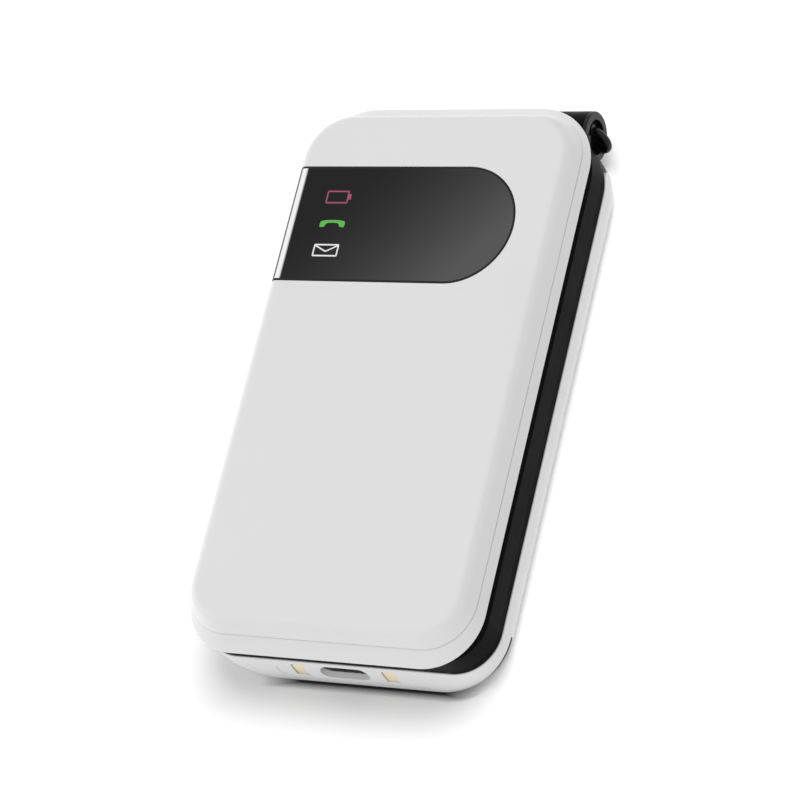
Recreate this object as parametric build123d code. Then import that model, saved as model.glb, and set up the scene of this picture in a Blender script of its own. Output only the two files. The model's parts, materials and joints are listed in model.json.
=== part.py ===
from build123d import *
from math import asin, cos, degrees, sqrt
import os

# Clamshell phone, closed, lying on its back.  +Z is the lid's outer face, +Y the hinge end.
# The origin is the centre of the back face's rectangle on the surface that it lies on.
# Everything is in millimetres.

# ---- driving dimensions -------------------------------------------------------------------
HALF = 28.15            # half width of the base where its white shell ends
BASE_BOTTOM = -50.19    # base's free end at the shell's top edge
BASE_TOP = 49.5         # where the base's corner arcs at the hinge would meet its end
BASE_END = 45.9         # square cut of the hinge end, under the barrel
BASE_R = 7.6            # base's corner radius at the free end, at the shell's top edge
CORNER_SWELL = 3.0      # how much larger that radius is at the back face
HINGE_R = 13.3          # base's corner radius at the hinge end
SHELL_TOP = 7.03        # height of the line between white shell and black frame
COVER_TOP = 1.92        # height of the battery cover's parting line
DECK_Z = 12.45          # top of the keypad deck
END_BULGE = 1.0         # how far the base's free end swells out below its top edge
SIDE_TUCK = 3.2         # how far the base's sides curve in towards the back
BACK_R = 0.6            # back edge rounding at the two ends
SHROUD_Y = 42.0         # from here on the base's hinge end is part of the black frame
SHROUD_R = 2.4          # rounding where the white shell ends beside it

RIM = dict(half=27.85, bottom=-51.79, top=50.0, r_bottom=9.9, r_top=11.9)
SEAM = dict(half=27.08, bottom=-49.17, top=47.7, r_bottom=8.5, r_top=9.2)
LID_TOP = 18.2          # outer face of the lid
SEAM_Z = 15.56          # line between lid panel and lid rim
RIM_Z = 13.37           # lower edge of the lid rim
LID_INNER = 12.9        # inner face of the lid
LINE = 0.06             # half of the hairline between two covers

HINGE_Y, HINGE_Z = 47.15, 8.3
BARREL_R = 4.45
SLEEVE_END = 19.3       # right end of the lid's hinge sleeve
KNUCKLE_IN, KNUCKLE_OUT = 19.5, 24.1
SOCKET_X = 22.6         # floor of the socket that a cap's spigot fills
CAP_OUT = 24.85
SLEEVE_BORE = 2.75
LEFT_INSET = 4.0        # how much nearer the middle every one of these lies on the left

# centre line of the strap bar: x, and y and z from the hinge axis
STRAP_BAR = [(22.9, 1.5, 0.8), (24.2, 1.19, 0.25), (25.4, 0.6, 0.05), (26.0, 0.16, -0.74),
             (26.2, -0.23, -1.82), (25.8, -0.48, -2.95), (24.5, -0.43, -3.65)]
STRAP_BAR_R = 0.68

WINDOW_Y, WINDOW_R, WINDOW_END_X = 25.4, 10.92, 7.76
WINDOW_T = 0.9
ICON_X = -16.3
ICON_YS = (30.4, 25.2, 20.2)

USB_W, USB_H, USB_X, USB_Z = 9.23, 3.37, -0.45, 4.5
PAD_W, PAD_H, PAD_X = 2.45, 3.3, 8.65

NAIL_SLOT_CENTRE, NAIL_SLOT_R = (18.35, -40.4), 6.8
NAIL_SLOT_Z = -1.03     # height of the slot's plane above the corner's centre
NAIL_SLOT_SLOPE = 24.5
NAIL_SLOT_START = 5.0   # how far right of the corner's centre the slot begins

KEY_X = 15.6
KEY_TOP = 12.58
KEY_GAP = 0.2
KEYS = {
    "key_soft_left": (-KEY_X, 33.4, 13.4, 7.0),
    "key_soft_right": (KEY_X, 33.4, 13.4, 7.0),
    "key_up": (0.0, 34.6, 13.4, 6.0),
    "key_select": (0.0, 26.6, 11.0, 7.6),
    "key_down": (0.0, 18.6, 13.4, 6.0),
    "key_call": (-KEY_X, 21.6, 13.4, 10.0),
    "key_end": (KEY_X, 21.6, 13.4, 10.0),
}
DIGITS = ("1", "2", "3", "4", "5", "6", "7", "8", "9", "star", "0", "hash")
DIGIT_ROW_Y, DIGIT_PITCH, DIGIT_W, DIGIT_H = 7.6, 13.0, 13.8, 10.6
for place, digit in enumerate(DIGITS):
    column, row = place % 3 - 1, place // 3
    KEYS[f"key_{digit}"] = (column * KEY_X, DIGIT_ROW_Y - row * DIGIT_PITCH, DIGIT_W, DIGIT_H)

SIDE_KEYS = {"volume_up": 14.0, "volume_down": 4.0}
SIDE_KEY_L, SIDE_KEY_H, SIDE_KEY_Z = 8.4, 2.0, 9.9

LID_SCREWS = [(-22.0, -43.6), (22.0, -43.6), (-21.5, 41.0), (21.5, 41.0)]
BASE_SCREWS = [(-24.6, -39.5), (24.6, -39.5), (-24.6, 33.4), (24.6, 33.4)]
BOSS_R = 1.5


# ---- shape helpers ------------------------------------------------------------------------
def outline(z, half, bottom, top, r_bottom, r_top, end=None):
    """Rounded rectangle, symmetrical about the YZ plane, as a face at height z.
    With end, its hinge end is cut off square there."""
    b, t = bottom + r_bottom, top - r_top
    end = top if end is None else end
    angle = asin(min(1.0, (end - t) / r_top))
    x_end = half - r_top + r_top * cos(angle)
    sweep_angle = degrees(angle)
    edges = [
        Line((-half + r_bottom, bottom), (half - r_bottom, bottom)),
        CenterArc((half - r_bottom, b), r_bottom, -90, 90),
        Line((half, b), (half, t)),
        CenterArc((half - r_top, t), r_top, 0, sweep_angle),
        Line((x_end, end), (-x_end, end)),
        CenterArc((-half + r_top, t), r_top, 180 - sweep_angle, sweep_angle),
        Line((-half, t), (-half, b)),
        CenterArc((-half + r_bottom, b), r_bottom, 180, 90),
    ]
    return Pos(0, 0, z) * make_face(edges)


def slab(z0, z1, half, bottom, top, r_bottom, r_top):
    """Straight-sided plate with the same rounded outline from z0 to z1."""
    return extrude(outline(z0, half, bottom, top, r_bottom, r_top), z1 - z0)


def block(x0, x1, y0, y1, z0, z1, r=0.0):
    """Box between two corners, with its upright edges rounded to r."""
    box = Pos((x0 + x1) / 2, (y0 + y1) / 2, (z0 + z1) / 2) * Box(x1 - x0, y1 - y0, z1 - z0)
    return fillet(box.edges().filter_by(Axis.Z), r) if r else box


def rod_x(y, z, r, x0, x1):
    """Cylinder along X from x0 to x1."""
    return Pos((x0 + x1) / 2, y, z) * Rot(0, 90, 0) * Cylinder(r, x1 - x0)


def rod_z(x, y, r, z0, z1):
    """Cylinder along Z from z0 to z1."""
    return Pos(x, y, (z0 + z1) / 2) * Cylinder(r, z1 - z0)


def obround_y(x, z, width, height, y0, y1):
    """Prism along Y whose section is a slot with round ends."""
    profile = Plane.XZ * SlotOverall(width, height)
    return Pos(x, y1, z) * extrude(profile, y1 - y0)


def barrel(r, x0, x1):
    """Cylinder about the hinge axis, which runs along X."""
    return rod_x(HINGE_Y, HINGE_Z, r, x0, x1)


def save(name, shape):
    """Write one named sub-part."""
    export_step(shape, f"parts/{name}.step")


# ---- lid ----------------------------------------------------------------------------------
def panel_form():
    """Outer form of the lid panel: a drafted wall that rolls over into the flat face."""
    draft, roll = 32.9, 1.85
    form = extrude(outline(SEAM_Z + LINE, **SEAM), LID_TOP - SEAM_Z - LINE, taper=draft)
    top_edges = form.faces().sort_by(Axis.Z)[-1].edges()
    return fillet(top_edges, roll)


def window_prism(grow):
    """Upright prism of the window: round at its right end, open past the lid's left edge."""
    r = WINDOW_R + grow
    left = block(-32, WINDOW_END_X, WINDOW_Y - r, WINDOW_Y + r, SEAM_Z - 2, LID_TOP + 2)
    return left + rod_z(WINDOW_END_X, WINDOW_Y, r, SEAM_Z - 2, LID_TOP + 2)


def lid_covers():
    """White panel and the dark window that is set flush in it and wraps over its left edge."""
    form = panel_form()
    skin = form - Pos(0, 0, -WINDOW_T) * form
    window = skin & window_prism(0)
    panel = form - (skin & window_prism(LINE))
    panel -= slab(SEAM_Z - 1, LID_TOP - 1.5, 24.0, -46.0, 45.6, 5.6, 8.0)
    for x, y in LID_SCREWS:
        panel += rod_z(x, y, 2.0, LID_INNER + 1.4, LID_TOP - 1.4)
        panel -= rod_z(x, y, 0.82, LID_INNER, LID_TOP - 2.2)
    for y in ICON_YS:
        panel -= rod_z(ICON_X, y, 1.2, LID_TOP - 2, LID_TOP - WINDOW_T)
    save("lid_panel", panel)
    save("lid_window", window)


def lid_rim():
    """White ring under the panel, flaring to a thumb lip at the free end."""
    edge = 0.22
    low = {key: value - (edge if key in ("half", "top") else 0) for key, value in RIM.items()}
    low["bottom"] += edge
    ring = loft([outline(RIM_Z, **low), outline(RIM_Z + edge, **RIM)], ruled=True)
    ring += loft([outline(RIM_Z + edge, **RIM), outline(SEAM_Z - LINE, **SEAM)], ruled=True)
    ring -= slab(RIM_Z - 1, SEAM_Z + 1, 25.8, -47.9, 47.2, 7.0, 9.0)
    save("lid_rim", ring)


def lid_bezel():
    """Black inner cover of the lid with its hinge sleeve, display opening and earpiece slot."""
    bezel = slab(LID_INNER, LID_INNER + 1.3, 25.7, -47.8, 47.1, 6.9, 8.9)
    left = LEFT_INSET - SLEEVE_END
    bezel += block(left, SLEEVE_END, 45.3, 47.1, HINGE_Z, LID_INNER + 0.5)
    bezel += barrel(BARREL_R, left, SLEEVE_END)
    bezel -= barrel(SLEEVE_BORE, -SLEEVE_END - 1, SLEEVE_END + 1)
    bezel -= block(-23.6, 23.6, -34.6, 30.6, LID_INNER - 1, LID_INNER + 2, 2.0)
    bezel -= block(-6, 6, 37.2, 38.8, LID_INNER - 1, LID_INNER + 2, 0.7)
    bezel -= block(-10.2, -2.8, 45.8, 46.6, HINGE_Z + 1, LID_INNER + 2)
    for x, y in LID_SCREWS:
        bezel -= rod_z(x, y, 0.85, LID_INNER - 1, LID_INNER + 2)
        bezel -= rod_z(x, y, 2.1, LID_INNER - 1, LID_INNER + 0.8)
    save("lid_bezel", bezel)


def lid_display():
    """Display glass in the bezel and the module behind it."""
    save("display_lens", block(-23.55, 23.55, -34.55, 30.55, LID_INNER + 0.05, LID_INNER + 0.9, 1.95))
    save("display_module", block(-22.6, 22.6, -33.4, 29.4, LID_INNER + 0.95, LID_INNER + 2.5, 0.5))


def lid_electronics():
    """Earpiece with its mesh, indicator board with three lamps, magnet and flexible cable."""
    earpiece = block(-7.5, 7.5, 34.8, 41.2, LID_INNER + 1.35, LID_INNER + 3.4, 1.5)
    save("earpiece_speaker", earpiece)
    mesh = block(-5.9, 5.9, 37.3, 38.7, LID_INNER + 0.1, LID_INNER + 0.4, 0.6)
    for step in range(-5, 6):
        mesh -= rod_z(step, 38.0, 0.3, LID_INNER, LID_INNER + 1)
    save("earpiece_mesh", mesh)
    board = block(-21, 4, 15.0, 33.6, LID_INNER + 2.6, LID_INNER + 3.1, 0.6)
    board += block(-11, -2, 33.0, 45.2, LID_INNER + 2.6, LID_INNER + 3.1, 0.4)
    board -= block(-8.2, 8.2, 34.2, 41.8, LID_INNER + 2, LID_INNER + 4)
    save("lid_board", board)
    lamps = [rod_z(ICON_X, y, 1.0, LID_INNER + 3.1, LID_INNER + 4.2) for y in ICON_YS]
    save("indicator_lamps", Compound(lamps))
    save("lid_magnet", block(14, 20, -46.2, -43.2, LID_INNER + 1.35, LID_INNER + 2.5, 0.3))
    roll = barrel(1.75, -18.3, -2.2) - barrel(1.45, -19, -1.2)
    tongue = block(-10.0, -3.0, 46.0, 46.4, HINGE_Z + 1.2, LID_INNER + 2.55)
    save("flex_cable", roll + tongue)


def lid_fasteners():
    """Four screws through the bezel into the panel, each under a soft bumper."""
    screws, bumpers = [], []
    for x, y in LID_SCREWS:
        head = rod_z(x, y, 1.5, LID_INNER + 0.1, LID_INNER + 0.8)
        head -= Pos(x, y, LID_INNER) * Box(0.5, 1.9, 0.8) + Pos(x, y, LID_INNER) * Box(1.9, 0.5, 0.8)
        screws.append(head + rod_z(x, y, 0.8, LID_INNER + 0.8, LID_INNER + 2.9))
        bumpers.append(rod_z(x, y, 2.0, LID_INNER - 0.3, LID_INNER + 0.08))
    save("lid_screws", Compound(screws))
    save("lid_bumpers", Compound(bumpers))


# ---- hinge --------------------------------------------------------------------------------
def hinge_parts():
    """Detent cartridge at the right: shaft, spring, follower and the cam keyed to the lid.
    A hollow bush at the left carries the cable."""
    shaft = barrel(1.2, 5.0, 22.4) + barrel(2.4, 5.0, 6.0) + barrel(2.6, 19.6, 22.4)
    save("hinge_shaft", shaft)
    save("hinge_cam", barrel(SLEEVE_BORE - 0.01, 15.2, 19.2) - barrel(1.25, 15, 20))
    save("hinge_follower", barrel(2.66, 12.2, 15.1) - barrel(1.23, 12, 16))
    coil = Helix(pitch=1.12, height=5.0, radius=1.9)
    wire = Plane(origin=coil @ 0, z_dir=coil % 0) * Circle(0.34)
    spring = sweep(wire, path=coil, is_frenet=True)
    save("hinge_spring", Pos(6.6, HINGE_Y, HINGE_Z) * Rot(0, 90, 0) * spring)
    save("hinge_bush", barrel(2.7, -18.4, -12.0) - barrel(1.9, -19, -11))


def hinge_caps():
    """End caps of the knuckles, each with a spigot.  The right one has a strap bar that
    arches out from a boss in its recess, over a deep hole, to the rim's lower side."""
    edge, spigot_r = 0.35, 3.6
    left = barrel(BARREL_R, -CAP_OUT, -KNUCKLE_OUT - 0.02)
    left = fillet(left.faces().sort_by(Axis.X)[0].edges(), edge)
    left += barrel(spigot_r, -KNUCKLE_OUT - 0.1, -SOCKET_X - 0.02)
    save("hinge_cap_left", Pos(LEFT_INSET, 0, 0) * left)
    right = barrel(BARREL_R, KNUCKLE_OUT + 0.02, CAP_OUT)
    right = fillet(right.faces().sort_by(Axis.X)[-1].edges(), edge)
    right = fillet(right.faces().sort_by(Axis.X)[0].edges(), 0.2)
    right += barrel(spigot_r, SOCKET_X + 0.02, KNUCKLE_OUT + 0.1)
    right -= barrel(3.05, KNUCKLE_OUT - 0.3, CAP_OUT + 1)
    right -= rod_x(HINGE_Y + 0.1, HINGE_Z - 1.5, 1.7, SOCKET_X + 0.5, CAP_OUT)
    right += rod_x(HINGE_Y + 1.0, HINGE_Z + 0.8, 0.95, SOCKET_X + 0.3, KNUCKLE_OUT + 0.3)
    path = Spline([Vector(x, HINGE_Y + y, HINGE_Z + z) for x, y, z in STRAP_BAR])
    bar = sweep(Plane(origin=path @ 0, z_dir=path % 0) * Circle(STRAP_BAR_R), path=path)
    save("hinge_cap_right", right + bar)


# ---- base ---------------------------------------------------------------------------------
def base_section(z, inset=0.0):
    """Outline of the white base at height z: sides tuck in towards the back, the free end
    swells out, and both ends round over just above the back face."""
    depth = (SHELL_TOP - z) / SHELL_TOP
    tuck = SIDE_TUCK * (1 - sqrt(max(0.0, 1 - depth ** 2.6)))
    low = max(0.0, BACK_R - z)
    roll = BACK_R - sqrt(BACK_R ** 2 - low ** 2)
    bottom = BASE_BOTTOM - END_BULGE * (1 - (1 - depth) ** 3) + roll
    corner = BASE_R + CORNER_SWELL * depth
    return outline(z, HALF - tuck - inset, bottom + inset, BASE_TOP - inset, corner - inset,
                   HINGE_R - inset, BASE_END - roll - inset)


def base_form(levels, inset=0.0):
    """Solid through the base's outlines at the given heights."""
    return loft([base_section(z, inset) for z in levels])


def shroud_room(gap):
    """Space at the hinge end that the white shell leaves to the black frame.  The shell's
    top edge rounds down into it."""
    y, z = SHROUD_Y - SHROUD_R, SHELL_TOP - SHROUD_R
    corner = block(-30, 30, y, SHROUD_Y + gap, z, SHELL_TOP + 1)
    corner -= rod_x(y, z, SHROUD_R + gap, -31, 31)
    return corner + block(-30, 30, SHROUD_Y + gap, 60, COVER_TOP + gap, SHELL_TOP + 1)


def hinge_room(x0, x1):
    """Space that the turning hinge needs beside the base."""
    return barrel(BARREL_R + 0.3, x0, x1)


def nail_slot(height):
    """Finger-nail slot round the corner, sloping down to the battery cover's parting line."""
    x, y = NAIL_SLOT_CENTRE
    ring = Pos(x, y, NAIL_SLOT_Z) * Rot(0, -NAIL_SLOT_SLOPE, 0) * Box(40, 40, height)
    ring -= rod_z(x, y, NAIL_SLOT_R, -5, 10)
    return ring & block(x + NAIL_SLOT_START, x + 20, y - 20, y - 1.3, 0, 6)


def base_shell():
    """White shell between the frame and the battery cover, with the socket's slot and two
    pockets for the charging pads in its free end."""
    form = base_form([COVER_TOP, 2.6, 3.5, 5.0, SHELL_TOP])
    dish = obround_y(USB_X, USB_Z, 26.0, 4.0, -60, -40)
    form -= (form - Pos(0, 0.1, 0) * form) & dish
    layer = Pos(0, 0.25, 0) * form - Pos(0, 0.85, 0) * form
    shell = form - slab(0, SHELL_TOP + 1, 26.4, -48.7, 43.8, 8.2, 8.4)
    pads = []
    for side in (-1, 1):
        x = USB_X + side * PAD_X
        x0, x1 = x - PAD_W / 2, x + PAD_W / 2
        z0, z1 = USB_Z - PAD_H / 2, USB_Z + PAD_H / 2
        shell -= block(x0, x1, -60, -45, z0, z1)
        pads.append(layer & block(x0 + 0.1, x1 - 0.1, -60, -45, z0 + 0.1, z1 - 0.1))
    shell -= obround_y(USB_X, USB_Z, USB_W, USB_H, -60, -40)
    shell -= shroud_room(0)
    shell -= nail_slot(0.82)
    save("base_shell", shell)
    save("charging_pads", Compound(pads))


def battery_cover():
    """Back cover, with a slotted outlet for the loudspeaker."""
    cover = base_form([0.0, 0.1, 0.35, 0.8, 1.3, COVER_TOP - 0.12])
    cover -= slab(1.1, 3, 25.4, -48.0, 43.0, 7.6, 8.0)
    cover -= nail_slot(0.82)
    for step in range(5):
        cover -= block(7, 19, 26.0 + 2.0 * step, 26.9 + 2.0 * step, -1, 2, 0.4)
    save("battery_cover", cover)


def frame_section(z, inset):
    """Outline of the black frame, set in from the base's outline."""
    return outline(z, HALF - inset, BASE_BOTTOM + inset, BASE_TOP - inset, BASE_R - inset,
                   HINGE_R - inset, BASE_END - inset)


def base_frame():
    """Black middle frame with the shroud of the hinge end, both hinge knuckles, screw bosses,
    side key openings, and a rib down to the strip that fills the nail slot."""
    levels = [(SHELL_TOP + 0.05, 0.16), (8.9, 0.0), (12.1, 0.3), (DECK_Z, 0.9)]
    frame = loft([frame_section(z, inset) for z, inset in levels], ruled=True)
    shroud = base_form([2.0, 2.6, 3.5, 5.0, SHELL_TOP], 0.38) & shroud_room(0.06)
    shroud += loft([frame_section(z, 0.38) for z in (SHELL_TOP, SHELL_TOP + 0.3)]) & shroud_room(0.06)
    shroud -= slab(0, SHELL_TOP + 0.02, 26.4, -48.7, 42.2, 8.2, 8.2)
    frame += shroud
    frame -= slab(5, 11.3, 25.8, -47.6, 41.9, 7.4, 7.4)
    frame -= slab(5, 20, 25.2, -46.7, 41.3, 7.0, 7.0)
    x, y = NAIL_SLOT_CENTRE
    rib = rod_z(x, y, 8.0, 2.2, SHELL_TOP + 0.5) - rod_z(x, y, 7.2, 2, 8)
    rib &= block(x + NAIL_SLOT_START, x + 20, y - 20, y - 1.3, 0, 8)
    frame += rib + (nail_slot(0.72) & base_form([0.35, 0.8, 1.3, 2.0, 2.6, 3.5, 5.0], 0.12))
    frame -= hinge_room(LEFT_INSET - SLEEVE_END - 0.2, SLEEVE_END + 0.2)
    for side, shift, bore in ((-1, LEFT_INSET, 2.72), (1, 0, 2.62)):
        inner, outer, socket = [side * x + shift for x in (KNUCKLE_IN, KNUCKLE_OUT, SOCKET_X)]
        frame -= barrel(BARREL_R + 0.04, *sorted((outer, side * 30)))
        x0, x1 = sorted((inner, outer))
        frame += block(x0, x1, 42.5, HINGE_Y, SHELL_TOP + 0.05, 12.1)
        frame += barrel(BARREL_R, x0, x1)
        frame -= barrel(bore, x0, x1)
        frame -= barrel(3.62, *sorted((socket, outer + side)))
    for x, y in BASE_SCREWS:
        frame += rod_z(x, y, BOSS_R, SHELL_TOP + 0.05, 11.35)
        frame -= rod_z(x, y, 0.82, 5, 10.6)
    for y in SIDE_KEYS.values():
        frame -= block(-30, -25, y - SIDE_KEY_L / 2 - KEY_GAP, y + SIDE_KEY_L / 2 + KEY_GAP,
                       SIDE_KEY_Z - SIDE_KEY_H / 2 - 0.15, SIDE_KEY_Z + SIDE_KEY_H / 2 + 0.15)
    save("base_frame", frame)


def keypad_deck():
    """Black deck that the keys stand through, with the microphone's sound hole."""
    deck = slab(11.35, DECK_Z, 25.1, -46.6, 41.2, 6.9, 6.9)
    for x, y, w, h in KEYS.values():
        w, h = w / 2 + KEY_GAP, h / 2 + KEY_GAP
        deck -= block(x - w, x + w, y - h, y + h, 11, 13, 1.9)
    deck -= rod_z(4.0, -42.4, 0.5, 11, 13)
    save("keypad_deck", deck)


def keys():
    """Nineteen sprung key caps, each held under the deck by a flange."""
    for name, (x, y, w, h) in KEYS.items():
        w, h = w / 2, h / 2
        cap = block(x - w, x + w, y - h, y + h, 11.2, KEY_TOP, 1.7)
        cap = fillet(cap.faces().sort_by(Axis.Z)[-1].edges(), 0.45)
        flange = block(x - w - 0.5, x + w + 0.5, y - h - 0.5, y + h + 0.5, 10.75, 11.2, 2.2)
        save(name, cap + flange)


def side_keys():
    """Two volume keys in the left side of the frame."""
    for name, y in SIDE_KEYS.items():
        length, height = SIDE_KEY_L / 2, SIDE_KEY_H / 2
        cap = block(-28.1, -25.5, y - length, y + length, SIDE_KEY_Z - height, SIDE_KEY_Z + height)
        cap = fillet(cap.faces().sort_by(Axis.X)[0].edges(), 0.3)
        flange = block(-25.7, -25.3, y - length - 0.6, y + length + 0.6,
                       SIDE_KEY_Z - height - 0.3, SIDE_KEY_Z + height + 0.3)
        save(name, cap + flange)


def circuit():
    """Dome sheet, main board with its shield, microphone and antenna."""
    sheet = slab(9.92, 10.12, 24.4, -40.6, 40.0, 5.0, 5.0)
    for x, y, _, _ in KEYS.values():
        sheet += rod_z(x, y, 2.4, 10.1, 10.34)
    board = slab(9.0, 9.9, 24.6, -46.0, 41.0, 6.4, 6.4)
    for x, y in BASE_SCREWS:
        sheet -= rod_z(x, y, BOSS_R + 0.2, 9, 11)
        board -= rod_z(x, y, BOSS_R + 0.2, 8, 11)
    save("dome_sheet", sheet)
    save("main_board", board)
    save("shield_can", block(-18, 18, 12, 38, 7.25, 8.95, 1.0))
    save("microphone", block(2.2, 5.8, -44.2, -41.2, 9.95, 11.1, 0.3))
    save("antenna", block(-20, 20, -47.2, -44.6, 7.4, 8.6, 0.4))


def power():
    """Battery with its contacts, charging socket and the chassis plate above them."""
    chassis = slab(6.3, SHELL_TOP - 0.03, 26.2, -48.4, 41.9, 7.9, 8.0)
    chassis -= block(-6, 6, -60, -41.5, 5, 8)
    chassis -= block(22.9, 28, -50, -41.2, 5, 8)
    for x, y in BASE_SCREWS:
        chassis -= rod_z(x, y, 0.85, 5, 8)
    save("inner_chassis", chassis)
    save("battery", block(-18.5, 18.5, -38.5, 13.0, 1.3, 6.1, 1.2))
    contacts = [block(x - 1, x + 1, 13.3, 16.0, 3.4, 6.2, 0.3) for x in (-5, 0, 5)]
    save("battery_contacts", Compound(contacts))
    socket = obround_y(USB_X, USB_Z, 8.94, 3.16, -50.0, -42.2)
    socket -= obround_y(USB_X, USB_Z, 8.34, 2.56, -60, -43.0)
    socket += block(USB_X - 3.35, USB_X + 3.35, -49.0, -42.6, USB_Z - 0.35, USB_Z + 0.35)
    save("charging_socket", socket)


def audio_and_cards():
    """Loudspeaker, vibration motor, card holder and the screws that close the base."""
    save("loudspeaker", block(5, 21, 23.5, 37.5, 1.3, 6.1, 2.0))
    motor = rod_x(39.6, 3.6, 1.9, -16.5, -8.0)
    weight = rod_x(39.6, 3.6, 1.8, -20.0, -16.9) & block(-21, -16, 37, 42, 3.2, 7)
    save("vibration_motor", motor + weight + rod_x(39.6, 3.6, 0.4, -20.0, -16.5))
    holder = block(-20.5, -5.5, 20.5, 34.5, 5.0, 6.25, 0.8) - block(-19.5, -6.5, 19, 33.5, 4.5, 5.6)
    save("sim_holder", holder)
    screws = []
    for x, y in BASE_SCREWS:
        screws.append(rod_z(x, y, 1.4, 5.3, 6.28) + rod_z(x, y, 0.8, 6.2, 10.2))
    save("base_screws", Compound(screws))


os.makedirs("parts", exist_ok=True)
lid_covers()
lid_rim()
lid_bezel()
lid_display()
lid_electronics()
lid_fasteners()
hinge_parts()
hinge_caps()
base_shell()
battery_cover()
base_frame()
keypad_deck()
keys()
side_keys()
circuit()
power()
audio_and_cards()
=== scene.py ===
"""Dresses a packed clamshell phone: smooth covers, window, pictograms, key legends and finishes."""

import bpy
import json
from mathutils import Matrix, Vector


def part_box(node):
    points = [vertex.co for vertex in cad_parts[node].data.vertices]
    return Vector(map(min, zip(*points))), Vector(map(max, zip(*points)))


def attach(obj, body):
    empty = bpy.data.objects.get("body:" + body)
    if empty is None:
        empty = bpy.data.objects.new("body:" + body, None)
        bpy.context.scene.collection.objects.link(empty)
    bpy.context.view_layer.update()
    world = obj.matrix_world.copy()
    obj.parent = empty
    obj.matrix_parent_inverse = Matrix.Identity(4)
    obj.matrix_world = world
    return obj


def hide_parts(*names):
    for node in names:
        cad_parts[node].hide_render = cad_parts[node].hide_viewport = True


bl_info = {
    "name": "Clamshell phone",
    "version": (1, 0, 0),
    "blender": (4, 5, 0),
    "location": "View3D > Sidebar > Phone",
    "description": "Builds the covers, window, legends and finishes of a clamshell phone",
    "category": "Object",
}

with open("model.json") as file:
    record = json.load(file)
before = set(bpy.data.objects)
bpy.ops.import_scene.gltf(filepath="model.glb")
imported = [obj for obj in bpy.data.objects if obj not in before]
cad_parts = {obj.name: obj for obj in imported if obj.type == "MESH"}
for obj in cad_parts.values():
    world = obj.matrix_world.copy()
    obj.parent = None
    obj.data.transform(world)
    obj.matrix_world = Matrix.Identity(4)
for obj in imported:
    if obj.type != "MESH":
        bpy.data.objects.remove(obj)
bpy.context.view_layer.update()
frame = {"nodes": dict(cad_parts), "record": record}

import json
from types import SimpleNamespace

import bmesh
import bpy
import numpy as np
from mathutils import Matrix

MM = 0.001
NODES = frame["nodes"]
SHARP = np.radians(28)      # edges that turn more than this stay sharp or get rounded


# ---- settings ---------------------------------------------------------------------------------
def length(name, description, value):
    """Length property.  value is in millimetres."""
    return bpy.props.FloatProperty(name=name, description=description, default=value * MM,
                                   unit="LENGTH", precision=5)


def linear(code):
    """sRGB hex code to a linear RGBA colour."""
    c = np.array([int(code[i:i + 2], 16) for i in (1, 3, 5)]) / 255
    c = np.where(c <= 0.04045, c / 12.92, ((c + 0.055) / 1.055) ** 2.4)
    return (*c.tolist(), 1.0)


def colour(name, description, code):
    """Colour property from an sRGB hex code."""
    return bpy.props.FloatVectorProperty(name=name, description=description, subtype="COLOR",
                                         size=4, min=0, max=1, default=linear(code))


class PhoneLid(bpy.types.PropertyGroup):
    """Sizes of the lid's covers"""
    rim_half: length("Rim half width", "Half width of the rim at its lower edge", 27.85)
    rim_low: length("Rim free end", "Y of the rim's free end", -51.79)
    rim_high: length("Rim hinge end", "Y of the rim's hinge end", 50.0)
    rim_r_low: length("Rim free radius", "Corner radius at the rim's free end", 9.9)
    rim_r_high: length("Rim hinge radius", "Corner radius at the rim's hinge end", 11.9)
    seam_half: length("Seam half width", "Half width at the line between panel and rim", 27.08)
    seam_low: length("Seam free end", "Y of the seam's free end", -49.17)
    seam_high: length("Seam hinge end", "Y of the seam's hinge end", 47.7)
    seam_r_low: length("Seam free radius", "Corner radius at the seam's free end", 8.5)
    seam_r_high: length("Seam hinge radius", "Corner radius at the seam's hinge end", 9.2)
    rim_z: length("Rim height", "Height of the rim's lower edge", 13.37)
    seam_z: length("Seam height", "Height of the seam", 15.56)
    top_z: length("Lid height", "Height of the lid's outer face", 18.2)
    roll: length("Roll radius", "Radius of the roll between the wall and the face", 1.85)
    line: length("Half hairline", "Half of the hairline between two covers", 0.08)
    window_y: length("Window centre", "Y of the window's centre line", 25.4)
    window_r: length("Window radius", "Radius of the window's round end", 10.92)
    window_x: length("Window end", "X of the round end's centre", 7.76)
    window_t: length("Window thickness", "Thickness of the window", 0.9)
    # border: width of a near-black band of painted shade round the window, in place of the groove's
    # shade
    border: length("Window border", "Width of the opaque print round the window", 0.34)
    icon_x: length("Pictogram place", "X of the pictograms' middle", -16.3)


class PhoneColours(bpy.types.PropertyGroup):
    """Colours of the shown surfaces"""
    cover: colour("Covers", "Lacquered covers", "#DADADA")
    body: colour("Body", "Black frame, hinge and inner cover", "#090909")
    window_dark: colour("Window, dark end", "Smoked window towards its wrapped end", "#070707")
    # the light end is a painted reflection that lightens the window towards its round end
    window_painted_sheen: colour("Window, light end", "Smoked window towards its round end", "#4E4E4F")
    battery: colour("Battery sign", "Battery pictogram", "#9C516B")
    call: colour("Call sign", "Handset pictogram", "#62B255")
    message: colour("Message sign", "Envelope pictogram", "#EAEAEA")


def in_mm(group):
    """All lengths of a settings group as plain numbers in millimetres."""
    return SimpleNamespace(**{key: getattr(group, key) / MM for key in group.__annotations__})


def plain_colours(group):
    """All colours of a settings group as plain linear RGBA values."""
    return SimpleNamespace(**{key: tuple(getattr(group, key)) for key in group.__annotations__})


def outline(s, name):
    """Half width, free end, hinge end and the corner radii at both, of the named outline."""
    return [getattr(s, f"{name}_{key}") for key in ("half", "low", "high", "r_low", "r_high")]


# the covers' hidden inner edges, in the same order, and the panel's thickness at the window, mm
RIM_INNER = (25.8, -47.9, 47.2, 7.0, 9.0)
PANEL_INNER = (24.0, -46.0, 45.6, 5.6, 8.0)
PANEL_T = 1.5


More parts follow.
